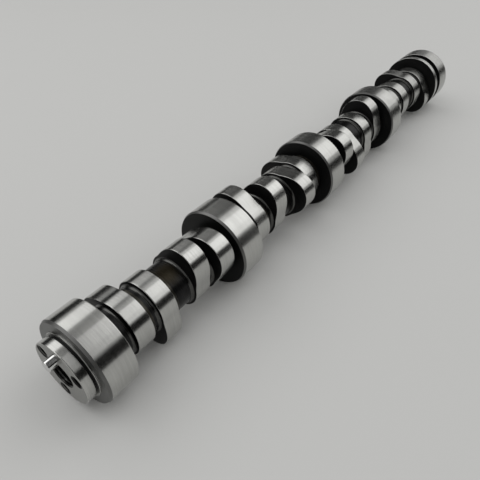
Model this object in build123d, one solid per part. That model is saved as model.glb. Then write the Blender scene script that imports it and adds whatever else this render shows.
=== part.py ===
from build123d import *
import os
from math import cos, pi, radians, sin

# Camshaft of an eight-cylinder engine with two banks, turned and ground from one steel bar.
# It lies along X on its journals, nose towards -X, with the floor at z = 0.
# The origin is on the floor under the middle of its length.
# All lengths are millimetres and all angles are degrees.
# Places along the shaft are counted rearwards from the middle of the front journal.
# Angles round the shaft are counted from +Y towards +Z.

# Journals
JOURNAL_DIAMETER = 55.0
JOURNAL_PITCH = 111.76
JOURNAL_COUNT = 5
JOURNAL_WIDTH = 20.0
JOURNAL_LEAD_LENGTH = 1.6
JOURNAL_LEAD_DEPTH = 0.8

# The rear journal reaches further both ways and has an oil groove behind its narrow front land
REAR_JOURNAL_FRONT_REACH = 13.4
REAR_JOURNAL_BACK_REACH = 18.2
REAR_FRONT_LAND_WIDTH = 5.0
OIL_GROOVE_WIDTH = 8.2
OIL_GROOVE_DIAMETER = 50.0
REAR_EDGE_BREAK = 1.2

# Bare shaft between the lands: a turned collar behind each land, then the dark core
# In the short gap behind the last lobe of a bay the collar reaches the next journal
CORE_DIAMETER = 31.4
COLLAR_DIAMETER = 33.0
COLLAR_LENGTH = 2.6

# Cam lobes: four in each bay, at these places behind the middle of the bay's front journal
LOBE_FRONTS = (18.75, 37.85, 65.75, 84.25)
LOBE_WIDTH = 12.5
BASE_CIRCLE_DIAMETER = 36.8
BLANK_UNDERCUT = 0.4
INTAKE_LIFT = 8.9
EXHAUST_LIFT = 8.88
INTAKE_HALF_ANGLE = 70.7
EXHAUST_HALF_ANGLE = 66.6
FLANK_FULLNESS = 0.89
FLANK_STEPS = 6

# Timing: each firing turns the shaft by one step, and even cylinders stand in the other bank
FIRING_ORDER = (1, 8, 7, 2, 6, 5, 4, 3)
FIRING_STEP = 45.0
BANK_ANGLE = 90.0
LOBE_SEPARATION = 113.7
FIRST_INTAKE_ANGLE = -2.6

# Nose: sprocket pilot, relief groove and thrust shoulder
PILOT_DIAMETER = 40.0
PILOT_LENGTH = 5.4
PILOT_EDGE_BREAK = 0.5
RELIEF_DIAMETER = 38.6
RELIEF_WIDTH = 1.5
SHOULDER_DIAMETER = 42.0
SHOULDER_LENGTH = 0.8

# Holes in the nose face: three tapped holes and a recess, and a dowel hole on the bolt circle
BOLT_CIRCLE_DIAMETER = 30.0
BOLT_COUNT = 3
BOLT_ANGLE = 37.9
TAP_DIAMETER = 6.8
TAP_MOUTH_DIAMETER = 8.4
TAP_DEPTH = 20.0
RECESS_DIAMETER = 17.0
RECESS_MOUTH_DIAMETER = 18.4
RECESS_DEPTH = 24.0

# Dowel pin that locates the sprocket
DOWEL_DIAMETER = 6.35
DOWEL_STAND_OUT = 6.3
DOWEL_HOLE_DEPTH = 10.0
DOWEL_EDGE_BREAK = 0.7
DOWEL_RELIEF_DIAMETER = 5.0
DOWEL_RELIEF_ABOVE_FACE = 0.3
DOWEL_RELIEF_BELOW_FACE = 1.0
DOWEL_FIT_CLEARANCE = 0.01

# Grinding centre in the rear face
CENTRE_DRILL_DIAMETER = 6.3
CENTRE_DRILL_DEPTH = 14.0
CENTRE_MOUTH_DIAMETER = 14.0
CENTRE_ANGLE = 60.0

# Worked out from the sizes above
journal_radius = JOURNAL_DIAMETER / 2
core_radius = CORE_DIAMETER / 2
collar_radius = COLLAR_DIAMETER / 2
base_radius = BASE_CIRCLE_DIAMETER / 2
bay_count = JOURNAL_COUNT - 1
front_journal_face = -JOURNAL_WIDTH / 2
nose_face = front_journal_face - SHOULDER_LENGTH - RELIEF_WIDTH - PILOT_LENGTH
rear_journal_middle = bay_count * JOURNAL_PITCH
rear_face = rear_journal_middle + REAR_JOURNAL_BACK_REACH
dowel_tip = nose_face - DOWEL_STAND_OUT
middle_of_length = (dowel_tip + rear_face) / 2
dowel_angle = BOLT_ANGLE + 180 / BOLT_COUNT

# Everything is drawn with the shaft along Z, then laid down by this plane
lying = Plane(origin=(-middle_of_length, 0, journal_radius), x_dir=(0, 1, 0), z_dir=(1, 0, 0))


def land(front, back, radius, lead=(0, 0), tail=(0, 0)):
    """Outline points of a land; lead and tail are the length and depth of its end bevels."""
    return [
        (radius - lead[1], front),
        (radius, front + lead[0]),
        (radius, back - tail[0]),
        (radius - tail[1], back),
    ]


def neck(front, back):
    """Outline points of the bare shaft between two lands: a short collar, then the core."""
    collar_end = front + COLLAR_LENGTH
    return [
        (collar_radius, front),
        (collar_radius, collar_end),
        (core_radius, collar_end),
        (core_radius, back),
    ]


def nose_outline():
    """Outline points of the sprocket pilot, the relief groove and the thrust shoulder."""
    relief_front = nose_face + PILOT_LENGTH
    relief_back = relief_front + RELIEF_WIDTH
    edge_break = (PILOT_EDGE_BREAK, PILOT_EDGE_BREAK)
    pilot = land(nose_face, relief_front, PILOT_DIAMETER / 2, lead=edge_break)
    relief = land(relief_front, relief_back, RELIEF_DIAMETER / 2)
    shoulder = land(relief_back, front_journal_face, SHOULDER_DIAMETER / 2)
    return pilot + relief + shoulder


def journal_outline(middle):
    """Outline points of a plain journal, with a long lead at its front edge."""
    front = middle - JOURNAL_WIDTH / 2
    back = middle + JOURNAL_WIDTH / 2
    return land(front, back, journal_radius, lead=(JOURNAL_LEAD_LENGTH, JOURNAL_LEAD_DEPTH))


def rear_journal_outline():
    """Outline points of the rear journal: a narrow land, the oil groove and a wide land."""
    front = rear_journal_middle - REAR_JOURNAL_FRONT_REACH
    groove_front = front + REAR_FRONT_LAND_WIDTH
    groove_back = groove_front + OIL_GROOVE_WIDTH
    rear_break = (REAR_EDGE_BREAK, REAR_EDGE_BREAK)
    narrow = land(front, groove_front, journal_radius)
    groove = land(groove_front, groove_back, OIL_GROOVE_DIAMETER / 2)
    wide = land(groove_back, rear_face, journal_radius, tail=rear_break)
    return narrow + groove + wide


def bay_outline(bay):
    """Outline points of a bay, from its front journal to the next: necks and lobe blanks."""
    start = bay * JOURNAL_PITCH
    front_reach = JOURNAL_WIDTH / 2 if bay < bay_count - 1 else REAR_JOURNAL_FRONT_REACH
    last_back = start + JOURNAL_WIDTH / 2
    points = []
    for offset in LOBE_FRONTS:
        front = start + offset
        points += neck(last_back, front)
        last_back = front + LOBE_WIDTH
        points += land(front, last_back, base_radius - BLANK_UNDERCUT)
    return points + land(last_back, start + JOURNAL_PITCH - front_reach, collar_radius)


def turned_outline(points):
    """A closed outline through (radius, place) points, without those that repeat."""
    corners = []
    for radius, place in points:
        if not corners or corners[-1] != (radius, 0, place):
            corners.append((radius, 0, place))
    return Polyline(*corners, close=True)


def turned_body():
    """The turned bar, from the nose face to the rear face."""
    points = [(0, nose_face)] + nose_outline()
    for bay in range(bay_count):
        points += journal_outline(bay * JOURNAL_PITCH) + bay_outline(bay)
    points += rear_journal_outline() + [(0, rear_face)]
    return revolve(make_face(turned_outline(points)), Axis.Z)


def lobe_section(lift, half_angle):
    """True section of a lobe, nose along X: a raised cosine flank closed by the base circle."""
    flank = []
    for step in range(-FLANK_STEPS, FLANK_STEPS + 1):
        share = step / FLANK_STEPS
        radius = base_radius + lift * (0.5 + 0.5 * cos(pi * share)) ** FLANK_FULLNESS
        angle = radians(half_angle * share)
        flank.append((radius * cos(angle), radius * sin(angle)))
    run_in = (sin(radians(half_angle)), cos(radians(half_angle)))
    run_out = (-run_in[0], run_in[1])
    raised = Spline(*flank, tangents=[run_in, run_out])
    base_circle = ThreePointArc(flank[-1], (-base_radius, 0), flank[0])
    return make_face([raised, base_circle])


def lobe(front, nose_angle, lift, half_angle):
    """A cam lobe in its place, ruled from face to face, with its nose turned to its angle."""
    section = lobe_section(lift, half_angle)
    ruled = loft([section, Pos(0, 0, LOBE_WIDTH) * section], ruled=True)
    return Pos(0, 0, front) * Rot(0, 0, nose_angle) * ruled


def intake_angle(cylinder):
    """Angle of a cylinder's intake nose, from its place in the firing order and its bank."""
    angle = FIRST_INTAKE_ANGLE - FIRING_STEP * FIRING_ORDER.index(cylinder)
    if cylinder % 2 == 0:
        angle -= BANK_ANGLE
    return angle


def bay_lobes(bay):
    """The four lobes of a bay: odd intake, even exhaust, odd exhaust and even intake."""
    odd = 2 * bay + 1
    even = odd + 1
    fronts = [bay * JOURNAL_PITCH + offset for offset in LOBE_FRONTS]
    odd_intake = intake_angle(odd)
    even_intake = intake_angle(even)
    return [
        lobe(fronts[0], odd_intake, INTAKE_LIFT, INTAKE_HALF_ANGLE),
        lobe(fronts[1], even_intake + LOBE_SEPARATION, EXHAUST_LIFT, EXHAUST_HALF_ANGLE),
        lobe(fronts[2], odd_intake + LOBE_SEPARATION, EXHAUST_LIFT, EXHAUST_HALF_ANGLE),
        lobe(fronts[3], even_intake, INTAKE_LIFT, INTAKE_HALF_ANGLE),
    ]


def drilled_hole(radius, mouth_radius, depth):
    """A cutter for a flat-bottomed blind hole from the nose face, with a bevelled mouth."""
    bevel = mouth_radius - radius
    outline = Polyline(
        (0, 0, nose_face),
        (mouth_radius, 0, nose_face),
        (radius, 0, nose_face + bevel),
        (radius, 0, nose_face + depth),
        (0, 0, nose_face + depth),
        close=True,
    )
    return revolve(make_face(outline), Axis.Z)


def on_bolt_circle(angle):
    """Where the bolt circle stands at an angle."""
    return Rot(0, 0, angle) * Pos(BOLT_CIRCLE_DIAMETER / 2, 0, 0)


def nose_holes():
    """Cutters for the recess, the tapped holes and the dowel hole in the nose face."""
    cutters = [drilled_hole(RECESS_DIAMETER / 2, RECESS_MOUTH_DIAMETER / 2, RECESS_DEPTH)]
    tapped = drilled_hole(TAP_DIAMETER / 2, TAP_MOUTH_DIAMETER / 2, TAP_DEPTH)
    for number in range(BOLT_COUNT):
        cutters.append(on_bolt_circle(BOLT_ANGLE + number * 360 / BOLT_COUNT) * tapped)
    dowel_hole = Cylinder(
        DOWEL_DIAMETER / 2 + DOWEL_FIT_CLEARANCE,
        DOWEL_HOLE_DEPTH,
        align=(Align.CENTER, Align.CENTER, Align.MIN),
    )
    cutters.append(on_bolt_circle(dowel_angle) * Pos(0, 0, nose_face) * dowel_hole)
    return cutters


def rear_centre():
    """A cutter for the grinding centre in the rear face: a small drill under a cone."""
    mouth_radius = CENTRE_MOUTH_DIAMETER / 2
    drill_radius = CENTRE_DRILL_DIAMETER / 2
    cone_depth = (mouth_radius - drill_radius) / sin(radians(CENTRE_ANGLE / 2))
    cone_depth *= cos(radians(CENTRE_ANGLE / 2))
    outline = Polyline(
        (0, 0, rear_face),
        (mouth_radius, 0, rear_face),
        (drill_radius, 0, rear_face - cone_depth),
        (drill_radius, 0, rear_face - CENTRE_DRILL_DEPTH),
        (0, 0, rear_face - CENTRE_DRILL_DEPTH),
        close=True,
    )
    return revolve(make_face(outline), Axis.Z)


def camshaft():
    """The shaft: the turned bar with its sixteen lobes, bored at both ends."""
    lobes = []
    for bay in range(bay_count):
        lobes += bay_lobes(bay)
    return turned_body() + lobes - nose_holes() - rear_centre()


def dowel_pin():
    """The dowel pin: a bevelled free end, a relief at the nose face and the seat in its hole."""
    relief_front = nose_face - DOWEL_RELIEF_ABOVE_FACE
    relief_back = nose_face + DOWEL_RELIEF_BELOW_FACE
    seat_end = nose_face + DOWEL_HOLE_DEPTH
    edge_break = (DOWEL_EDGE_BREAK, DOWEL_EDGE_BREAK)
    free_end = land(dowel_tip, relief_front, DOWEL_DIAMETER / 2, lead=edge_break)
    relief = land(relief_front, relief_back, DOWEL_RELIEF_DIAMETER / 2)
    seat = land(relief_back, seat_end, DOWEL_DIAMETER / 2)
    outline = turned_outline([(0, dowel_tip)] + free_end + relief + seat + [(0, seat_end)])
    return on_bolt_circle(dowel_angle) * revolve(make_face(outline), Axis.Z)


pieces = {"camshaft": camshaft(), "dowel_pin": dowel_pin()}

os.makedirs("parts", exist_ok=True)
for name, piece in pieces.items():
    export_step(lying * piece, f"parts/{name}.step")
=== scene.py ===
import logging
from dataclasses import dataclass
from enum import Enum
from math import atan2, cos, hypot, pi, radians, sin, tan
from typing import Callable, Iterable, Sequence

import bmesh
import bpy
from mathutils import Matrix, Vector


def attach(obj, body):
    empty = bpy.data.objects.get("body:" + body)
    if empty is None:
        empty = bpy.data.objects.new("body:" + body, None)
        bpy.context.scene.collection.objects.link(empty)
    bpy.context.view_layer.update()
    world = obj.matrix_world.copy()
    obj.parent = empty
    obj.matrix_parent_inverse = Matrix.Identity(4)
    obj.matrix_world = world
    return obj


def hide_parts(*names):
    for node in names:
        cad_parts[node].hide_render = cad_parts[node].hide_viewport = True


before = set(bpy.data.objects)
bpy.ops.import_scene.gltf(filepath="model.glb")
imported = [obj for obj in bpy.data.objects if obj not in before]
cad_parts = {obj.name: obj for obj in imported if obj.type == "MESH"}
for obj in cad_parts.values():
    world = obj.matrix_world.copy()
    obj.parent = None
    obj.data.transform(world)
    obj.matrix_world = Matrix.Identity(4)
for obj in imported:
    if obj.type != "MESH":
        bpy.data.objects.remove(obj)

LOG = logging.getLogger("camshaft")
MILLIMETRE = 0.001
MERGE_REACH = 1e-7
NODE_SPACING = 180
BODY = "root"

Point = tuple[float, float]
Colour = tuple[float, float, float]


class Finish(Enum):
    """The finishes on the shaft, in the order of its material slots."""

    LAND = 0
    FACE = 1
    SCALE = 2
    FLANK = 3
    HOLE = 4
    SHADED_FACE = 5
    FOOT = 6
    COLLAR = 7


@dataclass(frozen=True)
class ShaftSizes:
    """Sizes of the shaft in millimetres, counted rearwards from the middle of the front journal.

    Angles are degrees from +Y towards +Z, and the nose points to -X.
    """

    journal_radius: float = 27.5
    journal_pitch: float = 111.76
    bay_count: int = 4
    journal_reach: float = 10.0
    lead_length: float = 1.6
    lead_depth: float = 0.8
    rear_front_reach: float = 13.4
    rear_back_reach: float = 18.2
    rear_front_land: float = 5.0
    groove_width: float = 8.2
    groove_radius: float = 25.0
    core_radius: float = 15.7
    collar_radius: float = 16.5
    collar_length: float = 2.6
    foot_fillet: float = 2.0
    lobe_fronts: tuple[float, ...] = (18.75, 37.85, 65.75, 84.25)
    lobe_width: float = 12.5
    base_radius: float = 18.4
    lobe_lift: float = 8.9
    intake_half_angle: float = 70.7
    exhaust_half_angle: float = 66.6
    flank_fullness: float = 0.89
    lobe_separation: float = 113.7
    firing_order: tuple[int, ...] = (1, 8, 7, 2, 6, 5, 4, 3)
    firing_step: float = 45.0
    bank_angle: float = 90.0
    first_intake_angle: float = -2.6
    pilot_radius: float = 20.0
    pilot_length: float = 5.4
    relief_radius: float = 19.3
    relief_width: float = 1.5
    shoulder_radius: float = 21.0
    shoulder_length: float = 0.8
    bolt_circle_radius: float = 15.0
    bolt_count: int = 3
    bolt_angle: float = 37.9
    dowel_radius: float = 3.175
    dowel_clearance: float = 0.01
    dowel_stand_out: float = 6.3
    dowel_depth: float = 10.0
    rim_radius: float = 0.35

    @property
    def nose_face(self) -> float:
        """Place of the nose face."""
        return -self.journal_reach - self.shoulder_length - self.relief_width - self.pilot_length

    @property
    def rear_journal_front(self) -> float:
        """Place of the rear journal's front face."""
        return self.bay_count * self.journal_pitch - self.rear_front_reach

    @property
    def rear_face(self) -> float:
        """Place of the rear face."""
        return self.bay_count * self.journal_pitch + self.rear_back_reach

    @property
    def middle(self) -> float:
        """Place of the middle of the overall length, which stands over the origin."""
        return (self.nose_face - self.dowel_stand_out + self.rear_face) / 2

    @property
    def dowel_angle(self) -> float:
        """Angle of the dowel pin on the bolt circle."""
        return self.bolt_angle + 180 / self.bolt_count

    def metres(self, place: float) -> float:
        """X in metres of a place along the shaft in millimetres."""
        return (place - self.middle) * MILLIMETRE

    @property
    def axis_height(self) -> float:
        """Height of the shaft's axis over the floor, in metres."""
        return self.journal_radius * MILLIMETRE

    def spot(self, place: float, radius: float, angle: float) -> Vector:
        """A point on or in the shaft.

        Args:
            place: how far along the shaft it is, in millimetres.
            radius: how far from the axis it is, in millimetres.
            angle: degrees from +Y towards +Z.

        Returns:
            The point, in metres.
        """
        turn = radians(angle)
        reach = radius * MILLIMETRE
        return Vector((self.metres(place), reach * cos(turn), self.axis_height + reach * sin(turn)))


SIZES = ShaftSizes()


class Nodes:
    """Adds shader nodes to one material, left to right."""

    def __init__(self, name: str) -> None:
        """Starts an empty material.

        Args:
            name: the material's name.
        """
        self.material = bpy.data.materials.new(name)
        self.material.use_nodes = True
        self.tree = self.material.node_tree
        self.tree.nodes.clear()
        self.column = 0

    def add(self, kind: str, **settings: object) -> bpy.types.Node:
        """Adds a node.

        Args:
            kind: the node's type name.
            settings: properties to set on it.

        Returns:
            The new node.
        """
        node = self.tree.nodes.new(kind)
        node.location = (self.column, 0)
        self.column += NODE_SPACING
        for key, value in settings.items():
            setattr(node, key, value)
        return node

    def feed(self, socket: bpy.types.NodeSocket, value: object) -> None:
        """Links a socket to a value's socket, or sets it to a constant.

        Args:
            socket: the input to feed.
            value: a socket or a constant.
        """
        if isinstance(value, bpy.types.NodeSocket):
            self.tree.links.new(value, socket)
        else:
            socket.default_value = value

    def math(self, operation: str, *values: object) -> bpy.types.NodeSocket:
        """Adds a Math node and returns its result.

        Args:
            operation: the operation's name.
            values: sockets or numbers.

        Returns:
            The result's socket.
        """
        node = self.add("ShaderNodeMath", operation=operation)
        for socket, value in zip(node.inputs, values):
            self.feed(socket, value)
        return node.outputs[0]

    def weighted(self, *parts: tuple[bpy.types.NodeSocket, float]) -> bpy.types.NodeSocket:
        """Adds patterns up, each times its weight.

        Args:
            parts: each pattern with its weight.

        Returns:
            The sum's socket.
        """
        total: object = 0.0
        for pattern, weight in reversed(parts):
            total = self.math("MULTIPLY_ADD", pattern, weight, total)
        return total

    def varied(self, middle: float, spread: float,
               pattern: bpy.types.NodeSocket) -> bpy.types.NodeSocket:
        """A number that a pattern moves up and down round a middle one."""
        return self.math("MULTIPLY_ADD", pattern, spread, middle - spread / 2)

    def ramp(self, value: bpy.types.NodeSocket, low: float, high: float,
             to_low: float = 0.0, to_high: float = 1.0) -> bpy.types.NodeSocket:
        """Smoothly maps a value from one range to another.

        Args:
            value: the socket to read.
            low: where the ramp starts.
            high: where it ends.
            to_low: the result at low.
            to_high: the result at high.

        Returns:
            The result's socket.
        """
        node = self.add("ShaderNodeMapRange", interpolation_type="SMOOTHSTEP")
        for socket, item in zip(node.inputs, (value, low, high, to_low, to_high)):
            self.feed(socket, item)
        return node.outputs[0]

    def noise(self, vector: bpy.types.NodeSocket, scale: float = 1.0, detail: float = 2.0,
              roughness: float = 0.5) -> bpy.types.NodeSocket:
        """Adds a Noise Texture and returns its factor.

        Args:
            vector: the coordinates.
            scale: the noise's scale.
            detail: how many finer layers it has.
            roughness: how strong they are.

        Returns:
            The factor's socket.
        """
        node = self.add("ShaderNodeTexNoise")
        self.feed(node.inputs["Vector"], vector)
        node.inputs["Scale"].default_value = scale
        node.inputs["Detail"].default_value = detail
        node.inputs["Roughness"].default_value = roughness
        return node.outputs[0]

    def mix(self, share: object, first: object, second: object) -> bpy.types.NodeSocket:
        """Mixes two colours.

        Args:
            share: how much of the second colour shows.
            first: a colour or socket.
            second: a colour or socket.

        Returns:
            The mixed colour's socket.
        """
        node = self.add("ShaderNodeMix", data_type="RGBA")
        self.feed(node.inputs[0], share)
        for socket, value in ((node.inputs[6], first), (node.inputs[7], second)):
            self.feed(socket, (*value, 1.0) if isinstance(value, tuple) else value)
        return node.outputs[2]

    def bump(self, height: bpy.types.NodeSocket, distance: float,
             strength: float = 1.0) -> bpy.types.NodeSocket:
        """Turns a height into a bumped normal.

        Args:
            height: the height's socket.
            distance: how far one unit of height stands out, in metres.
            strength: how much of the bump shows.

        Returns:
            The normal's socket.
        """
        node = self.add("ShaderNodeBump")
        node.inputs["Strength"].default_value = strength
        node.inputs["Distance"].default_value = distance
        self.feed(node.inputs["Height"], height)
        return node.outputs[0]

    def surface(self, **inputs: object) -> bpy.types.Material:
        """Closes the material with a Principled BSDF.

        Args:
            inputs: its inputs, with underscores for spaces.

        Returns:
            The finished material.
        """
        shader = self.add("ShaderNodeBsdfPrincipled")
        for key, value in inputs.items():
            self.feed(shader.inputs[key.replace("_", " ")], value)
        output = self.add("ShaderNodeOutputMaterial")
        self.tree.links.new(shader.outputs[0], output.inputs[0])
        return self.material


@dataclass(frozen=True)
class Around:
    """Coordinates round the shaft, read from Object coordinates, for patterns that follow it."""

    along: bpy.types.NodeSocket
    across: bpy.types.NodeSocket
    up: bpy.types.NodeSocket
    radius: bpy.types.NodeSocket
    position: bpy.types.NodeSocket

    @staticmethod
    def read(nodes: Nodes) -> "Around":
        """Adds the nodes that work out place and radius from the object's own coordinates.

        Args:
            nodes: the material being made.

        Returns:
            The sockets, in metres.
        """
        position = nodes.add("ShaderNodeTexCoord").outputs["Object"]
        split = nodes.add("ShaderNodeSeparateXYZ")
        nodes.feed(split.inputs[0], position)
        along, across = split.outputs[0], split.outputs[1]
        up = nodes.math("SUBTRACT", split.outputs[2], SIZES.axis_height)
        squares = nodes.math("ADD", nodes.math("MULTIPLY", across, across),
                             nodes.math("MULTIPLY", up, up))
        return Around(along, across, up, nodes.math("SQRT", squares), position)

    def wrapped(self, nodes: Nodes, reading: bpy.types.NodeSocket, per_metre: float,
                wander: float) -> bpy.types.NodeSocket:
        """Coordinates that change fast with one reading and slowly round the shaft.

        Args:
            nodes: the material being made.
            reading: the socket to follow, in metres.
            per_metre: how fast the pattern changes with it.
            wander: how fast the pattern changes round the shaft.

        Returns:
            The vector's socket.
        """
        join = nodes.add("ShaderNodeCombineXYZ")
        nodes.feed(join.inputs[0], nodes.math("MULTIPLY", reading, per_metre))
        for slot, part in ((1, self.across), (2, self.up)):
            share = nodes.math("DIVIDE", part, nodes.math("MAXIMUM", self.radius, MILLIMETRE))
            nodes.feed(join.inputs[slot], nodes.math("MULTIPLY", share, wander))
        return join.outputs[0]

    def streaks(self, nodes: Nodes, per_metre: float, wander: float) -> bpy.types.NodeSocket:
        """Coordinates for lines that run round the shaft."""
        return self.wrapped(nodes, self.along, per_metre, wander)

    def rings(self, nodes: Nodes, per_metre: float, wander: float) -> bpy.types.NodeSocket:
        """Coordinates for rings round the axis on a flat face."""
        return self.wrapped(nodes, self.radius, per_metre, wander)


@dataclass(frozen=True)
class GroundSteel:
    """Satin steel with fine grinding lines that run round the shaft."""

    name: str = "ground_land"
    bright: Colour = (0.55, 0.55, 0.53)
    dull: Colour = (0.43, 0.43, 0.415)
    tone_range: Point = (0.3, 0.7)
    roughness: float = 0.24
    roughness_spread: float = 0.10
    anisotropy: float = 0.75
    line_density: float = 5200.0
    line_wander: float = 1.6
    line_height: float = 0.0000025
    line_weight: float = 0.4
    band_density: float = 1700.0
    band_wander: float = 0.7
    band_weight: float = 0.4
    smear_scale: float = 70.0
    smear_weight: float = 0.2

    def material(self) -> bpy.types.Material:
        """Makes the material.

        Returns:
            The material.
        """
        nodes = Nodes(self.name)
        around = Around.read(nodes)
        lines = nodes.noise(around.streaks(nodes, self.line_density, self.line_wander),
                            detail=4.0, roughness=0.65)
        bands = nodes.noise(around.streaks(nodes, self.band_density, self.band_wander))
        smears = nodes.noise(around.position, self.smear_scale, 3.0)
        tone = nodes.weighted((lines, self.line_weight), (bands, self.band_weight),
                              (smears, self.smear_weight))
        tangent = nodes.add("ShaderNodeTangent", direction_type="RADIAL", axis="X")
        return nodes.surface(
            Base_Color=nodes.mix(nodes.ramp(tone, *self.tone_range), self.dull, self.bright),
            Metallic=1.0, Roughness=nodes.varied(self.roughness, self.roughness_spread, bands),
            Anisotropic=self.anisotropy, Anisotropic_Rotation=0.25,
            Tangent=tangent.outputs[0], Normal=nodes.bump(lines, self.line_height))


@dataclass(frozen=True)
class TurnedFace:
    """A flat face of bare steel with turned rings."""

    name: str = "turned_face"
    bright: Colour = (0.40, 0.40, 0.385)
    dull: Colour = (0.27, 0.27, 0.26)
    roughness: float = 0.42
    roughness_spread: float = 0.16
    ring_density: float = 4200.0
    ring_wander: float = 1.2
    ring_height: float = 0.000004
    ring_weight: float = 0.5
    patch_scale: float = 180.0
    patch_weight: float = 0.5

    def material(self) -> bpy.types.Material:
        """Makes the material.

        Returns:
            The material.
        """
        nodes = Nodes(self.name)
        around = Around.read(nodes)
        rings = nodes.noise(around.rings(nodes, self.ring_density, self.ring_wander),
                            detail=3.0, roughness=0.6)
        patches = nodes.noise(around.position, self.patch_scale, 4.0)
        tone = nodes.weighted((rings, self.ring_weight), (patches, self.patch_weight))
        return nodes.surface(
            Base_Color=nodes.mix(tone, self.dull, self.bright), Metallic=1.0,
            Roughness=nodes.varied(self.roughness, self.roughness_spread, patches),
            Normal=nodes.bump(rings, self.ring_height))


@dataclass(frozen=True)
class DarkScale:
    """Near-black unground steel with coarse turning marks and one faint brown heat stain."""

    name: str = "dark_scale"
    black: Colour = (0.006, 0.006, 0.006)
    grey: Colour = (0.024, 0.024, 0.024)
    grey_range: Point = (0.35, 0.75)
    stain: Colour = (0.016, 0.0122, 0.005)
    stain_place: float = 57.5
    stain_angle: float = 104.0
    stain_reach: float = 0.011
    roughness: float = 0.28
    roughness_spread: float = 0.2
    mark_density: float = 1100.0
    mark_wander: float = 0.9
    mark_height: float = 0.00006
    patch_scale: float = 110.0

    def material(self) -> bpy.types.Material:
        """Makes the material.

        Returns:
            The material.
        """
        nodes = Nodes(self.name)
        around = Around.read(nodes)
        marks = nodes.noise(around.streaks(nodes, self.mark_density, self.mark_wander),
                            detail=3.0, roughness=0.6)
        patches = nodes.noise(around.position, self.patch_scale, 4.0, 0.6)
        bare = nodes.mix(nodes.ramp(patches, *self.grey_range), self.black, self.grey)
        away = nodes.add("ShaderNodeVectorMath", operation="DISTANCE")
        nodes.feed(away.inputs[0], around.position)
        stained = SIZES.spot(self.stain_place, SIZES.core_radius, self.stain_angle)
        nodes.feed(away.inputs[1], stained)
        share = nodes.ramp(away.outputs["Value"], self.stain_reach, self.stain_reach / 4)
        return nodes.surface(
            Base_Color=nodes.mix(share, bare, self.stain), Metallic=0.6,
            Roughness=nodes.varied(self.roughness, self.roughness_spread, marks),
            Specular_IOR_Level=0.3, Normal=nodes.bump(marks, self.mark_height))


@dataclass(frozen=True)
class DarkFlank:
    """Near-black sides of lobes and journals, with faint turned rings."""

    name: str = "dark_flank"
    black: Colour = (0.006, 0.006, 0.006)
    grey: Colour = (0.020, 0.020, 0.020)
    roughness: float = 0.425
    roughness_spread: float = 0.15
    ring_density: float = 1900.0
    ring_wander: float = 0.9
    ring_height: float = 0.000012
    ring_range: Point = (0.45, 0.75)
    patch_scale: float = 90.0
    patch_range: Point = (0.3, 0.8)

    def material(self) -> bpy.types.Material:
        """Makes the material.

        Returns:
            The material.
        """
        nodes = Nodes(self.name)
        around = Around.read(nodes)
        rings = nodes.noise(around.rings(nodes, self.ring_density, self.ring_wander),
                            detail=3.0, roughness=0.55)
        patches = nodes.noise(around.position, self.patch_scale, 3.0)
        share = nodes.math("MULTIPLY", nodes.ramp(rings, *self.ring_range),
                           nodes.ramp(patches, *self.patch_range))
        return nodes.surface(
            Base_Color=nodes.mix(share, self.black, self.grey), Metallic=0.5,
            Roughness=nodes.varied(self.roughness, self.roughness_spread, patches),
            Specular_IOR_Level=0.2, Normal=nodes.bump(rings, self.ring_height))


@dataclass(frozen=True)
class DrilledHole:
    """Near-black walls of the drilled and tapped holes, painted shade, with lighter streaks on them
    that are painted glints.
    """

    name: str = "hole_painted_shade"
    dark: Colour = (0.012, 0.012, 0.012)
    light: Colour = (0.20, 0.20, 0.19)
    light_range: Point = (0.45, 0.8)
    roughness: float = 0.34
    mark_density: float = 1400.0
    mark_wander: float = 2.0
    mark_height: float = 0.00003

    def material(self) -> bpy.types.Material:
        """Makes the material.

        Returns:
            The material.
        """
        nodes = Nodes(self.name)
        around = Around.read(nodes)
        marks = nodes.noise(around.streaks(nodes, self.mark_density, self.mark_wander),
                            detail=3.0, roughness=0.6)
        # The lighter streaks are painted glints, and the near-black rest is painted shade in the
        # holes.
        share = nodes.ramp(marks, *self.light_range)
        return nodes.surface(
            Base_Color=nodes.mix(share, self.dark, self.light), Metallic=0.9,
            Roughness=self.roughness, Normal=nodes.bump(marks, self.mark_height))


@dataclass(frozen=True)
class BrightPin:
    """Bright ground steel of the dowel pin, with faint lines round it."""

    name: str = "bright_pin"
    bright: Colour = (0.80, 0.80, 0.79)
    dull: Colour = (0.62, 0.62, 0.61)
    roughness: float = 0.16
    roughness_spread: float = 0.10
    line_density: float = 6000.0
    line_wander: float = 0.4
    line_height: float = 0.000002

    def material(self) -> bpy.types.Material:
        """Makes the material.

        Returns:
            The material.
        """
        nodes = Nodes(self.name)
        around = Around.read(nodes)
        lines = nodes.noise(around.streaks(nodes, self.line_density, self.line_wander),
                            detail=3.0, roughness=0.6)
        return nodes.surface(
            Base_Color=nodes.mix(lines, self.dull, self.bright), Metallic=1.0,
            Roughness=nodes.varied(self.roughness, self.roughness_spread, lines),
            Normal=nodes.bump(lines, self.line_height))


Look = GroundSteel | TurnedFace | DarkScale | DarkFlank | DrilledHole


def arc(middle: Point, radius: float, start: float, end: float, steps: int) -> list[Point]:
    """Points on an arc round a (place, radius), from a start to an end angle in degrees."""
    turns = [radians(start + (end - start) * step / steps) for step in range(steps + 1)]
    return [(middle[0] + radius * cos(turn), middle[1] + radius * sin(turn)) for turn in turns]


def without_repeats(points: Iterable[Point], least: float = 1e-6) -> list[Point]:
    """Drops each point that lies on the one before it.

    Args:
        points: the points, in order.
        least: how far apart two points have to be.

    Returns:
        The points that are left.
    """
    kept: list[Point] = []
    for point in points:
        if not kept or hypot(point[0] - kept[-1][0], point[1] - kept[-1][1]) > least:
            kept.append(point)
    return kept


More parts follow.
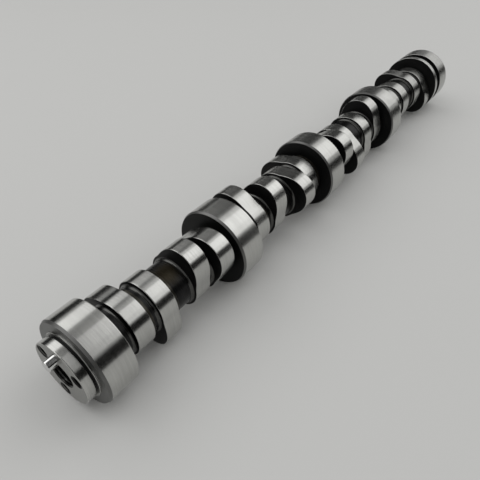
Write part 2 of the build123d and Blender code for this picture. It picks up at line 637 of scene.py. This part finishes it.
@dataclass
class ShaftProfile:
    """The half profile of the turned shaft, from the rim of the nose face to the rear centre."""

    sizes: ShaftSizes
    rim_steps: int = 4
    fillet_steps: int = 7
    support: float = 0.25
    journal_rim: float = 0.4
    rear_rim: float = 1.0
    pilot_rim: float = 0.5
    edge_break: float = 0.15
    collar_step: float = 0.25
    centre_mouth_radius: float = 7.0
    centre_drill_radius: float = 3.15
    centre_cone_depth: float = 6.67
    centre_depth: float = 14.0
    centre_tip: float = 1.9

    def land(self, front: float, back: float, radius: float, front_rim: float,
             back_rim: float) -> list[Point]:
        """Points of a ground land with rounded rims and a line beside each to keep it flat.

        Args:
            front: its front face.
            back: its back face.
            radius: its radius.
            front_rim: the radius of its front rim.
            back_rim: the radius of its back rim.

        Returns:
            The points, front to back.
        """
        points = arc((front + front_rim, radius - front_rim), front_rim, 180, 90, self.rim_steps)
        points.append((front + front_rim + self.support, radius))
        points.append((back - back_rim - self.support, radius))
        points += arc((back - back_rim, radius - back_rim), back_rim, 90, 0, self.rim_steps)
        return points

    def neck(self, front: float, back: float) -> list[Point]:
        """Points of the bare shaft between two lands: collar, step, core and foot fillet.

        Args:
            front: where the stretch starts.
            back: where it ends.

        Returns:
            The points, front to back.
        """
        s = self.sizes
        step, fillet = self.collar_step, s.foot_fillet
        collar_end = front + s.collar_length
        points = [(front, s.collar_radius), (collar_end - step, s.collar_radius),
                  (collar_end, s.collar_radius - step), (collar_end, s.core_radius + step),
                  (collar_end + step, s.core_radius)]
        points += arc((back - fillet, s.core_radius + fillet), fillet, -90, 0, self.fillet_steps)
        return points

    def journal(self, middle: float) -> list[Point]:
        """Points of a plain journal, with its long lead at the front.

        Args:
            middle: the place of its middle.

        Returns:
            The points, front to back.
        """
        s = self.sizes
        front, back = middle - s.journal_reach, middle + s.journal_reach
        lead_end = front + s.lead_length
        points = [(front, s.journal_radius - s.lead_depth), (lead_end, s.journal_radius),
                  (back - self.journal_rim - self.support, s.journal_radius)]
        points += arc((back - self.journal_rim, s.journal_radius - self.journal_rim),
                      self.journal_rim, 90, 0, self.rim_steps)
        return points

    def rear_journal(self) -> list[Point]:
        """Points of the rear journal: narrow land, oil groove and wide land.

        Returns:
            The points, front to back.
        """
        s = self.sizes
        rim = self.journal_rim
        groove_front = s.rear_journal_front + s.rear_front_land
        groove_back = groove_front + s.groove_width
        points = self.land(s.rear_journal_front, groove_front, s.journal_radius, rim, rim)
        points += [(groove_front, s.groove_radius), (groove_back, s.groove_radius)]
        points += self.land(groove_back, s.rear_face, s.journal_radius, rim, self.rear_rim)
        return points

    def nose(self) -> list[Point]:
        """Points of the sprocket pilot, the relief groove and the thrust shoulder.

        Returns:
            The points, front to back.
        """
        s = self.sizes
        pilot_back = s.nose_face + s.pilot_length
        relief_back = pilot_back + s.relief_width
        rim, small = self.pilot_rim, self.edge_break
        points = arc((s.nose_face + rim, s.pilot_radius - rim), rim, 180, 90, self.rim_steps)
        points += [(s.nose_face + rim + self.support, s.pilot_radius),
                   (pilot_back - small - self.support, s.pilot_radius),
                   (pilot_back - small, s.pilot_radius), (pilot_back, s.pilot_radius - small),
                   (pilot_back, s.relief_radius), (relief_back, s.relief_radius),
                   (relief_back, s.shoulder_radius - small),
                   (relief_back + small, s.shoulder_radius),
                   (-s.journal_reach, s.shoulder_radius)]
        return points

    def bay(self, number: int) -> list[Point]:
        """Points of one bay: necks and the round blanks of its four lobes.

        Args:
            number: the bay, counted from the nose.

        Returns:
            The points, front to back.
        """
        s = self.sizes
        start = number * s.journal_pitch
        back = start + s.journal_reach
        points: list[Point] = []
        for offset in s.lobe_fronts:
            front = start + offset
            points += self.neck(back, front)
            back = front + s.lobe_width
            points += self.land(front, back, s.base_radius, s.rim_radius, s.rim_radius)
        reach = s.journal_reach if number < s.bay_count - 1 else s.rear_front_reach
        end = start + s.journal_pitch - reach
        return points + [(back, s.collar_radius), (end, s.collar_radius)]

    def rear_centre(self) -> list[Point]:
        """Points of the rear face and its grinding centre.

        Returns:
            The points, ending on the axis.
        """
        rear, drill = self.sizes.rear_face, self.centre_drill_radius
        return [(rear, self.centre_mouth_radius), (rear - self.centre_cone_depth, drill),
                (rear - self.centre_depth, drill),
                (rear - self.centre_depth - self.centre_tip, 0.0)]

    def points(self) -> list[Point]:
        """All points of the half profile.

        Returns:
            The points as (place, radius), nose to rear.
        """
        s = self.sizes
        points = self.nose()
        for number in range(s.bay_count):
            points += self.journal(number * s.journal_pitch) + self.bay(number)
        return without_repeats(points + self.rear_journal() + self.rear_centre())


@dataclass
class CamLobes:
    """The sixteen lobes, raised from round blanks on the spun shaft."""

    sizes: ShaftSizes

    def lift(self, angle: float, half_angle: float) -> float:
        """Height in millimetres over the base circle at an angle from the lobe's nose."""
        share = min(abs(angle) / half_angle, 1.0)
        return self.sizes.lobe_lift * (0.5 + 0.5 * cos(pi * share)) ** self.sizes.flank_fullness

    def intake_angle(self, cylinder: int) -> float:
        """Angle of a cylinder's intake nose, from the firing order and its bank.

        Args:
            cylinder: the cylinder's number.

        Returns:
            The angle in degrees.
        """
        s = self.sizes
        angle = s.first_intake_angle - s.firing_step * s.firing_order.index(cylinder)
        return angle - (s.bank_angle if cylinder % 2 == 0 else 0.0)

    def plan(self) -> list[tuple[float, float, float]]:
        """Works out where each lobe stands.

        Returns:
            Each lobe's front place, nose angle and half angle, from the nose of the shaft.
        """
        s = self.sizes
        rows = []
        for bay in range(s.bay_count):
            odd, even = 2 * bay + 1, 2 * bay + 2
            kinds = ((odd, False), (even, True), (odd, True), (even, False))
            for offset, (cylinder, exhaust) in zip(s.lobe_fronts, kinds):
                angle = self.intake_angle(cylinder) + (s.lobe_separation if exhaust else 0.0)
                half_angle = s.exhaust_half_angle if exhaust else s.intake_half_angle
                rows.append((bay * s.journal_pitch + offset, angle, half_angle))
        return rows

    def grind(self, mesh: bmesh.types.BMesh) -> None:
        """Raises each lobe by moving the points of its blank outwards.

        Args:
            mesh: the spun shaft.
        """
        s = self.sizes
        slack = 0.01
        blanks = mesh.verts[:]
        for front, nose_angle, half_angle in self.plan():
            low, high = s.metres(front - slack), s.metres(front + s.lobe_width + slack)
            least = (s.base_radius - s.rim_radius - slack) * MILLIMETRE
            blank = [v for v in blanks if low <= v.co.x <= high]
            for vertex in blank:
                up = vertex.co.z - s.axis_height
                radius = hypot(vertex.co.y, up)
                if radius < least:
                    continue
                angle = atan2(up, vertex.co.y) * 180 / pi
                away = (angle - nose_angle + 180) % 360 - 180
                grown = 1 + self.lift(away, half_angle) * MILLIMETRE / radius
                vertex.co.y *= grown
                vertex.co.z = s.axis_height + up * grown


@dataclass
class BlindHole:
    """A round blind hole in the nose face, cut by pushing its rim inwards ring by ring."""

    sizes: ShaftSizes
    radius_from_axis: float
    angle: float
    rings: list[Point]
    segments: int = 48
    pitch: float = 0.0
    thread_depth: float = 0.0
    thread_turns: int = 0
    steps_per_turn: int = 6

    def rim(self, mesh: bmesh.types.BMesh, radius: float) -> list[bmesh.types.BMEdge]:
        """Draws the hole's rim on the nose face.

        Args:
            mesh: the shaft.
            radius: the rim's radius in millimetres.

        Returns:
            The rim's edges.
        """
        s = self.sizes
        middle = s.spot(s.nose_face, self.radius_from_axis, self.angle)
        made = bmesh.ops.create_circle(
            mesh, cap_ends=False, segments=self.segments, radius=radius * MILLIMETRE,
            matrix=Matrix.Translation(middle) @ Matrix.Rotation(pi / 2, 4, "Y"))
        return list(dict.fromkeys(edge for vertex in made["verts"] for edge in vertex.link_edges))

    def push(self, mesh: bmesh.types.BMesh, edges: Sequence[bmesh.types.BMEdge], depth: float,
             radius: Callable[[float], float]) -> list[bmesh.types.BMEdge]:
        """Extrudes a ring of edges to a depth and sets its radius.

        Args:
            mesh: the shaft.
            edges: the ring to extrude.
            depth: the new ring's depth under the nose face, in millimetres.
            radius: the new radius in millimetres at an angle in turns.

        Returns:
            The new ring's edges.
        """
        s = self.sizes
        middle = s.spot(s.nose_face + depth, self.radius_from_axis, self.angle)
        grown = bmesh.ops.extrude_edge_only(mesh, edges=list(edges))["geom"]
        for vertex in (item for item in grown if isinstance(item, bmesh.types.BMVert)):
            turn = atan2(vertex.co.z - middle.z, vertex.co.y - middle.y)
            reach = radius(turn / (2 * pi)) * MILLIMETRE
            vertex.co = middle + Vector((0, reach * cos(turn), reach * sin(turn)))
        return [item for item in grown if isinstance(item, bmesh.types.BMEdge)]

    def cut(self, mesh: bmesh.types.BMesh, edges: list[bmesh.types.BMEdge]) -> None:
        """Cuts the hole from its rim to its closed end.

        Args:
            mesh: the shaft.
            edges: the rim's edges, already joined to the nose face.
        """
        for depth, radius in self.rings[1:]:
            edges = self.push(mesh, edges, depth, lambda turn, fixed=radius: fixed)
            if self.thread_turns and depth == self.rings[1][0]:
                edges = self.thread(mesh, edges, depth, radius)
        ends = list(dict.fromkeys(vertex for edge in edges for vertex in edge.verts))
        middle = sum((vertex.co for vertex in ends), Vector()) / len(ends)
        bmesh.ops.pointmerge(mesh, verts=ends, merge_co=middle)

    def thread(self, mesh: bmesh.types.BMesh, edges: list[bmesh.types.BMEdge], depth: float,
               radius: float) -> list[bmesh.types.BMEdge]:
        """Cuts a helical thread down the wall.

        Args:
            mesh: the shaft.
            edges: the ring where the thread starts.
            depth: its depth in millimetres.
            radius: the crest's radius in millimetres.

        Returns:
            The ring where the thread ends.
        """
        steps = self.thread_turns * self.steps_per_turn
        for step in range(1, steps + 1):
            here = depth + step * self.pitch / self.steps_per_turn
            fade = min(1.0, step / self.steps_per_turn, (steps - step) / self.steps_per_turn)

            def wall(turn: float, share: float = step / self.steps_per_turn,
                     fade: float = fade) -> float:
                """Radius of the threaded wall at an angle in turns."""
                wave = 1 - abs(((share - turn) % 1.0) * 2 - 1)
                return radius + self.thread_depth * wave * fade

            edges = self.push(mesh, edges, here, wall)
        return edges


@dataclass
class Camshaft:
    """The turned and ground shaft as one closed mesh.

    The last six fields tell its finishes apart: how near a place and a radius have to be, how far
    under the pilot and the core a wall belongs to a hole, and how much of its normal runs along
    the shaft on a flat face and on a foot fillet.
    """

    sizes: ShaftSizes
    segments: int = 168
    tapped_mouth: float = 4.2
    tap_radius: float = 3.4
    tap_depth: float = 20.0
    thread_pitch: float = 1.25
    thread_depth: float = 0.6
    thread_turns: int = 8
    recess_mouth: float = 9.2
    recess_radius: float = 8.5
    recess_depth: float = 24.0
    recess_segments: int = 96
    ridge_pitch: float = 2.0
    ridge_depth: float = 0.9
    ridge_turns: int = 5
    tip_slope: float = 0.6
    tip_end: float = 0.1
    sharp_angle: float = 24.0
    place_slack: float = 0.05
    radius_slack: float = 0.1
    pilot_wall: float = 0.9
    core_wall: float = 0.5
    flat_normal: float = 0.9
    foot_normal: float = 0.1

    def spin(self, mesh: bmesh.types.BMesh) -> None:
        """Spins the half profile round the axis into a shaft that is open at its nose face.

        Args:
            mesh: the empty mesh.
        """
        s = self.sizes
        line = [mesh.verts.new(s.spot(place, radius, 0))
                for place, radius in ShaftProfile(s).points()]
        spin_line(mesh, line, Vector((0, 0, s.axis_height)), self.segments)

    def drilled(self, mouth: float, radius: float, depth: float) -> list[Point]:
        """Rings of a drilled hole: bevelled mouth, wall and the cone of the drill's tip.

        Args:
            mouth: the radius of its mouth.
            radius: the radius of its wall.
            depth: how deep its wall goes under the nose face.

        Returns:
            The rings as (depth, radius).
        """
        end = self.tip_end * radius
        return [(0.0, mouth), (mouth - radius, radius), (depth, radius),
                (depth + self.tip_slope * (radius - end), end)]

    def holes(self) -> list[BlindHole]:
        """The holes in the nose face.

        Returns:
            The recess, the three tapped holes and the dowel hole.
        """
        s = self.sizes
        recess = BlindHole(
            s, 0.0, 0.0, self.drilled(self.recess_mouth, self.recess_radius, self.recess_depth),
            segments=self.recess_segments, pitch=self.ridge_pitch,
            thread_depth=self.ridge_depth, thread_turns=self.ridge_turns)
        tapped = [BlindHole(
            s, s.bolt_circle_radius, s.bolt_angle + number * 360 / s.bolt_count,
            self.drilled(self.tapped_mouth, self.tap_radius, self.tap_depth),
            pitch=self.thread_pitch, thread_depth=self.thread_depth,
            thread_turns=self.thread_turns) for number in range(s.bolt_count)]
        snug = s.dowel_radius + s.dowel_clearance
        dowel = BlindHole(s, s.bolt_circle_radius, s.dowel_angle, [
            (0.0, snug), (s.dowel_depth, snug), (s.dowel_depth, self.tip_end * snug)])
        return [recess, *tapped, dowel]

    def close_nose(self, mesh: bmesh.types.BMesh) -> None:
        """Fills the nose face round the rims of its holes and cuts the holes.

        Args:
            mesh: the spun shaft.
        """
        outer = [edge for edge in mesh.edges if edge.is_boundary]
        holes = self.holes()
        rims = [hole.rim(mesh, hole.rings[0][1]) for hole in holes]
        loops = outer + [edge for rim in rims for edge in rim]
        bmesh.ops.triangle_fill(mesh, use_beauty=True, use_dissolve=False, edges=loops)
        for hole, rim in zip(holes, rims):
            hole.cut(mesh, rim)

    def nose_finish(self, place: float, radius: float, faces_along: bool) -> Finish:
        """The finish of a face in front of the first journal's land.

        Args:
            place: how far along the shaft it is.
            radius: how far from the axis it is.
            faces_along: whether it looks along the shaft.

        Returns:
            Its finish.
        """
        s = self.sizes
        behind_pilot = place > s.nose_face + s.pilot_length - self.place_slack
        if behind_pilot and radius < s.relief_radius + self.radius_slack:
            return Finish.SCALE
        if not faces_along:
            return Finish.LAND
        on_journal = place > -s.journal_reach - self.place_slack
        # The first journal's front face takes the darker copy of the turned face, painted shade.
        return Finish.SHADED_FACE if on_journal else Finish.FACE

    def finish_of(self, face: bmesh.types.BMFace) -> Finish:
        """The finish of a face, from where it is and which way it looks.

        Args:
            face: the face.

        Returns:
            Its finish.
        """
        s = self.sizes
        middle = face.calc_center_median()
        place = middle.x / MILLIMETRE + s.middle
        radius = hypot(middle.y, middle.z - s.axis_height) / MILLIMETRE
        faces_along = abs(face.normal.x) > self.flat_normal
        # The tapped holes stand further out than the core, and end before the first journal does.
        over_taps = place < s.journal_reach - self.place_slack
        wall = s.pilot_radius - self.pilot_wall if over_taps else s.core_radius - self.core_wall
        if place > s.nose_face + self.place_slack and radius < wall:
            return Finish.HOLE
        if place < -s.journal_reach + self.place_slack:
            return self.nose_finish(place, radius, faces_along)
        if place > s.rear_face - self.place_slack:
            return Finish.FACE
        if faces_along:
            return Finish.FLANK
        before_rear = place < s.rear_journal_front
        # The leads are painted darker: painted shade for the dark front that they mirror.
        if before_rear and (place + s.journal_reach) % s.journal_pitch < s.lead_length:
            return Finish.SHADED_FACE
        groove_floor = s.groove_radius + self.radius_slack
        if radius > (s.base_radius - s.rim_radius if before_rear else groove_floor):
            return Finish.LAND
        if face.normal.x < -self.foot_normal:
            return Finish.FOOT
        on_collar = abs(radius - s.collar_radius) < self.radius_slack
        return Finish.COLLAR if on_collar else Finish.SCALE

    def looks(self) -> dict[Finish, Look]:
        """The look of each finish.

        Returns:
            The looks, one for each finish.
        """
        return {
            Finish.LAND: GroundSteel(),
            Finish.FACE: TurnedFace(),
            Finish.SCALE: DarkScale(),
            Finish.FLANK: DarkFlank(),
            Finish.HOLE: DrilledHole(),
            # A darker copy of the turned face: painted shade on the leads and on the first
            # journal's front face.
            Finish.SHADED_FACE: TurnedFace(
                "shaded_face", bright=(0.21, 0.21, 0.205), dull=(0.12, 0.12, 0.117)),
            Finish.FOOT: TurnedFace(
                "worn_foot", bright=(0.13, 0.13, 0.125), dull=(0.04, 0.04, 0.038), roughness=0.25),
            Finish.COLLAR: DarkScale(
                "worn_collar", black=(0.016, 0.015, 0.012), grey=(0.068, 0.063, 0.052)),
        }

    def build(self) -> bpy.types.Object:
        """Builds and dresses the shaft.

        Returns:
            The shaft's object.
        """
        mesh = bmesh.new()
        self.spin(mesh)
        CamLobes(self.sizes).grind(mesh)
        self.close_nose(mesh)
        shade(mesh, self.sharp_angle)
        for face in mesh.faces:
            face.material_index = self.finish_of(face).value
        looks = self.looks()
        return place_piece(mesh, "ground_camshaft", [looks[finish].material() for finish in Finish],
                           "camshaft")


@dataclass
class DowelPin:
    """The dowel pin that stands out of the nose face."""

    sizes: ShaftSizes
    segments: int = 64
    edge: float = 0.7
    tip_support: float = 0.2
    support: float = 0.25
    steps: int = 4
    sharp_angle: float = 40.0

    def profile(self) -> list[Point]:
        """Half profile of the pin.

        Returns:
            The points as (place, radius), from its tip to its seat.
        """
        s = self.sizes
        tip, seat = s.nose_face - s.dowel_stand_out, s.nose_face + s.dowel_depth
        radius = s.dowel_radius
        points: list[Point] = [(tip, 0.0), (tip, radius - self.edge - self.tip_support)]
        points += arc((tip + self.edge, radius - self.edge), self.edge, 180, 90, self.steps)
        points += [(tip + self.edge + self.support, radius), (seat - self.edge, radius),
                   (seat, radius - self.edge), (seat, 0.0)]
        return without_repeats(points)

    def build(self) -> bpy.types.Object:
        """Builds and dresses the pin.

        Returns:
            The pin's object.
        """
        s = self.sizes
        mesh = bmesh.new()
        axis = s.spot(s.nose_face, s.bolt_circle_radius, s.dowel_angle)
        line = [mesh.verts.new((s.metres(place), axis.y + radius * MILLIMETRE, axis.z))
                for place, radius in self.profile()]
        spin_line(mesh, line, axis, self.segments)
        shade(mesh, self.sharp_angle)
        return place_piece(mesh, "ground_dowel_pin", [BrightPin().material()],
                           "dowel_pin")


def spin_line(mesh: bmesh.types.BMesh, line: list[bmesh.types.BMVert], centre: Vector,
              steps: int) -> None:
    """Spins a line of vertices a full turn round an axis along X, and merges what meets.

    Args:
        mesh: the mesh that holds the line.
        line: its vertices, in order.
        centre: a point of the axis.
        steps: how many steps the turn has.
    """
    edges = [mesh.edges.new(pair) for pair in zip(line, line[1:])]
    bmesh.ops.spin(mesh, geom=line + edges, cent=centre, axis=(1, 0, 0), dvec=(0, 0, 0),
                   angle=2 * pi, steps=steps, use_merge=True)
    bmesh.ops.remove_doubles(mesh, verts=mesh.verts[:], dist=MERGE_REACH)


def shade(mesh: bmesh.types.BMesh, sharp_angle: float) -> None:
    """Turns the faces outwards, shades them smooth and marks the sharp edges.

    Args:
        mesh: the closed mesh.
        sharp_angle: the least angle of a sharp edge, in degrees.
    """
    bmesh.ops.recalc_face_normals(mesh, faces=mesh.faces[:])
    mesh.normal_update()
    for face in mesh.faces:
        face.smooth = True
    for edge in mesh.edges:
        if len(edge.link_faces) == 2 and edge.calc_face_angle(0.0) > radians(sharp_angle):
            edge.smooth = False


def put_in_scene(mesh: bmesh.types.BMesh, name: str,
                 materials: Sequence[bpy.types.Material]) -> bpy.types.Object:
    """Turns a finished mesh into an object of the scene.

    Args:
        mesh: the mesh, which is used up.
        name: the object's name.
        materials: its materials, in slot order.

    Returns:
        The object.
    """
    data = bpy.data.meshes.new(name)
    mesh.to_mesh(data)
    mesh.free()
    for material in materials:
        data.materials.append(material)
    made = bpy.data.objects.new(name, data)
    bpy.context.scene.collection.objects.link(made)
    return made


def place_piece(mesh: bmesh.types.BMesh, name: str, materials: Sequence[bpy.types.Material],
                node: str) -> bpy.types.Object:
    """Turns a finished mesh into a piece that stands for a CAD node.

    Args:
        mesh: the mesh, which is used up.
        name: the piece's name.
        materials: its materials, in slot order.
        node: the CAD node that it stands for.

    Returns:
        The piece.
    """
    piece = put_in_scene(mesh, name, materials)
    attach(piece, BODY)
    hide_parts(node)
    return piece


def facing(angle: float) -> tuple[Vector, Matrix]:
    """Direction out from the shaft's axis at an angle, and a turn whose Z looks that way.

    Args:
        angle: degrees from +Y over the top.

    Returns:
        The direction and the turn, whose X runs along the shaft.
    """
    turn = radians(angle)
    out = Vector((0, cos(turn), sin(turn)))
    side = out.cross(Vector((1, 0, 0)))
    return out, Matrix(((1, side.x, out.x), (0, side.y, out.y), (0, side.z, out.z))).to_4x4()


@dataclass(frozen=True)
class Panel:
    """A long flat panel round the shaft, given by the angles between which the shaft sees it."""

    name: str
    low_angle: float
    high_angle: float
    distance: float
    front: float
    back: float

    @property
    def width(self) -> float:
        """Its width across the shaft, in metres."""
        return 2 * self.distance * tan(radians((self.high_angle - self.low_angle) / 2))

    def placing(self, axis_height: float) -> Matrix:
        """Where it hangs.

        Args:
            axis_height: height of the shaft's axis, in metres.

        Returns:
            Its world matrix.
        """
        out, turned = facing((self.low_angle + self.high_angle) / 2)
        middle = Vector(((self.front + self.back) / 2, 0, axis_height)) + out * self.distance
        return Matrix.Translation(middle) @ turned


@dataclass(frozen=True)
class Softbox(Panel):
    """A long soft lamp."""

    radiance: float = 1.0

    def build(self, axis_height: float) -> None:
        """Hangs the lamp.

        Args:
            axis_height: height of the shaft's axis, in metres.
        """
        data = bpy.data.lights.new(self.name, "AREA")
        data.shape = "RECTANGLE"
        data.size = self.back - self.front
        data.size_y = self.width
        data.energy = self.radiance * pi * data.size * data.size_y
        lamp = bpy.data.objects.new(self.name, data)
        lamp.matrix_world = self.placing(axis_height)
        lamp.visible_camera = False
        bpy.context.scene.collection.objects.link(lamp)


@dataclass(frozen=True)
class DarkCard(Panel):
    """A long dark card that only the polished lands mirror."""

    tone: float = 0.01
    roughness: float = 0.9

    def build(self, axis_height: float) -> None:
        """Hangs the card.

        Args:
            axis_height: height of the shaft's axis, in metres.
        """
        mesh = bmesh.new()
        bmesh.ops.create_grid(mesh, x_segments=1, y_segments=1, size=0.5)
        bmesh.ops.scale(mesh, vec=(self.back - self.front, self.width, 1), verts=mesh.verts[:])
        bmesh.ops.transform(mesh, matrix=self.placing(axis_height), verts=mesh.verts[:])
        paint = Nodes(self.name).surface(
            Base_Color=(self.tone, self.tone, self.tone, 1.0), Roughness=self.roughness,
            Specular_IOR_Level=0.1)
        card = put_in_scene(mesh, self.name, [paint])
        card.visible_camera = False
        card.visible_diffuse = False
        card.visible_shadow = False
        card.visible_transmission = False


@dataclass
class Studio:
    """The plain pale floor, the soft lamps, the pale room and the camera of the photograph."""

    sizes: ShaftSizes
    floor_colour: Colour = (0.57, 0.57, 0.56)
    floor_radius: float = 12.0
    floor_segments: int = 96
    floor_roughness: float = 0.85
    glow_reach: Point = (0.9, 2.8)
    fade_reach: Point = (1.15, 3.0)
    room_colour: Colour = (0.50, 0.50, 0.495)
    camera_place: Point = (-0.29393, -0.15655)
    camera_height: float = 0.23870
    camera_heading: float = 37.254
    camera_pitch: float = 40.986
    lens: float = 35.89
    sensor: float = 36.0

    def panels(self) -> list[Softbox | DarkCard]:
        """The soft lamps and the dark cards.

        Returns:
            The panels, from the far side over the top to the near side.
        """
        # Name, lowest and highest angle, distance, front, back, then radiance or tone.
        return [
            DarkCard("far_card", -3.4, 21.0, 0.45, -0.8, 1.6),
            Softbox("far_softbox", 28.0, 62.0, 1.6, -1.2, 0.42, 1.05),
            DarkCard("far_grey_card", 22.0, 70.0, 1.6, 0.46, 1.1, 0.36),
            DarkCard("far_rear_card", 22.0, 74.0, 1.6, 1.1, 3.6, 0.04),
            Softbox("upper_near_softbox", 76.0, 90.0, 1.6, 0.5, 3.0, 0.42),
            Softbox("near_softbox", 90.0, 126.0, 1.6, 0.27, 3.0, 1.03),
            Softbox("lower_near_softbox", 126.0, 144.0, 1.6, 0.27, 3.0, 0.85),
            Softbox("front_softbox", 60.0, 120.0, 1.7, -1.15, -0.4, 1.5),
            DarkCard("nose_card", 68.0, 150.0, 1.6, -1.2, 0.25, 0.08),
            DarkCard("near_front_card", 149.0, 177.0, 0.45, -0.8, 0.3),
            DarkCard("near_rear_card", 158.0, 185.0, 0.3, 0.2, 1.3),
        ]

    def floor(self) -> None:
        """Lays the floor; far from the shaft its own colour fades out and it glows with the colour
        of the room instead, a painted glow.
        """
        mesh = bmesh.new()
        bmesh.ops.create_circle(mesh, cap_ends=True, segments=self.floor_segments,
                                radius=self.floor_radius)
        nodes = Nodes("pale_floor")
        length = nodes.add("ShaderNodeVectorMath", operation="LENGTH")
        nodes.feed(length.inputs[0], nodes.add("ShaderNodeTexCoord").outputs["Object"])
        # Painted glow: far from the shaft the floor gives off the room's colour, though it is no
        # lamp.
        glow = nodes.ramp(length.outputs["Value"], *self.glow_reach)
        fade = nodes.ramp(length.outputs["Value"], *self.fade_reach)
        paint = nodes.surface(
            Base_Color=nodes.mix(fade, self.floor_colour, (0.0, 0.0, 0.0)),
            Roughness=self.floor_roughness, Specular_IOR_Level=0.0,
            Emission_Color=(*self.room_colour, 1.0), Emission_Strength=glow)
        floor = put_in_scene(mesh, "floor", [paint])

    def room(self) -> None:
        """Sets the plain pale room beyond the lamps."""
        world = bpy.data.worlds.new("pale_room")
        world.use_nodes = True
        world.node_tree.nodes["Background"].inputs[0].default_value = (*self.room_colour, 1.0)
        bpy.context.scene.world = world

    def camera(self) -> None:
        """Places the camera as in the photograph."""
        data = bpy.data.cameras.new("photo_camera")
        data.sensor_width = self.sensor
        data.lens = self.lens
        data.clip_start = 0.01
        camera = bpy.data.objects.new("photo_camera", data)
        heading, pitch = radians(self.camera_heading), radians(self.camera_pitch)
        ahead = Vector((cos(pitch) * cos(heading), cos(pitch) * sin(heading), -sin(pitch)))
        camera.location = (*self.camera_place, self.camera_height)
        camera.rotation_euler = ahead.to_track_quat("-Z", "Y").to_euler()
        bpy.context.scene.collection.objects.link(camera)
        bpy.context.scene.camera = camera

    def build(self) -> None:
        """Sets up the whole studio."""
        self.camera()
        self.floor()
        self.room()
        for panel in self.panels():
            panel.build(self.sizes.axis_height)
        bpy.context.scene.view_settings.view_transform = "Standard"


def main() -> None:
    """Builds the pieces and the studio."""
    logging.basicConfig(level=logging.INFO, format="%(name)s: %(message)s")
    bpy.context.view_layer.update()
    Studio(SIZES).build()
    for part in (Camshaft(SIZES), DowelPin(SIZES)):
        piece = part.build()
        LOG.info("%s: %d faces", piece.name, len(piece.data.polygons))


if __name__ == "__main__":
    main()
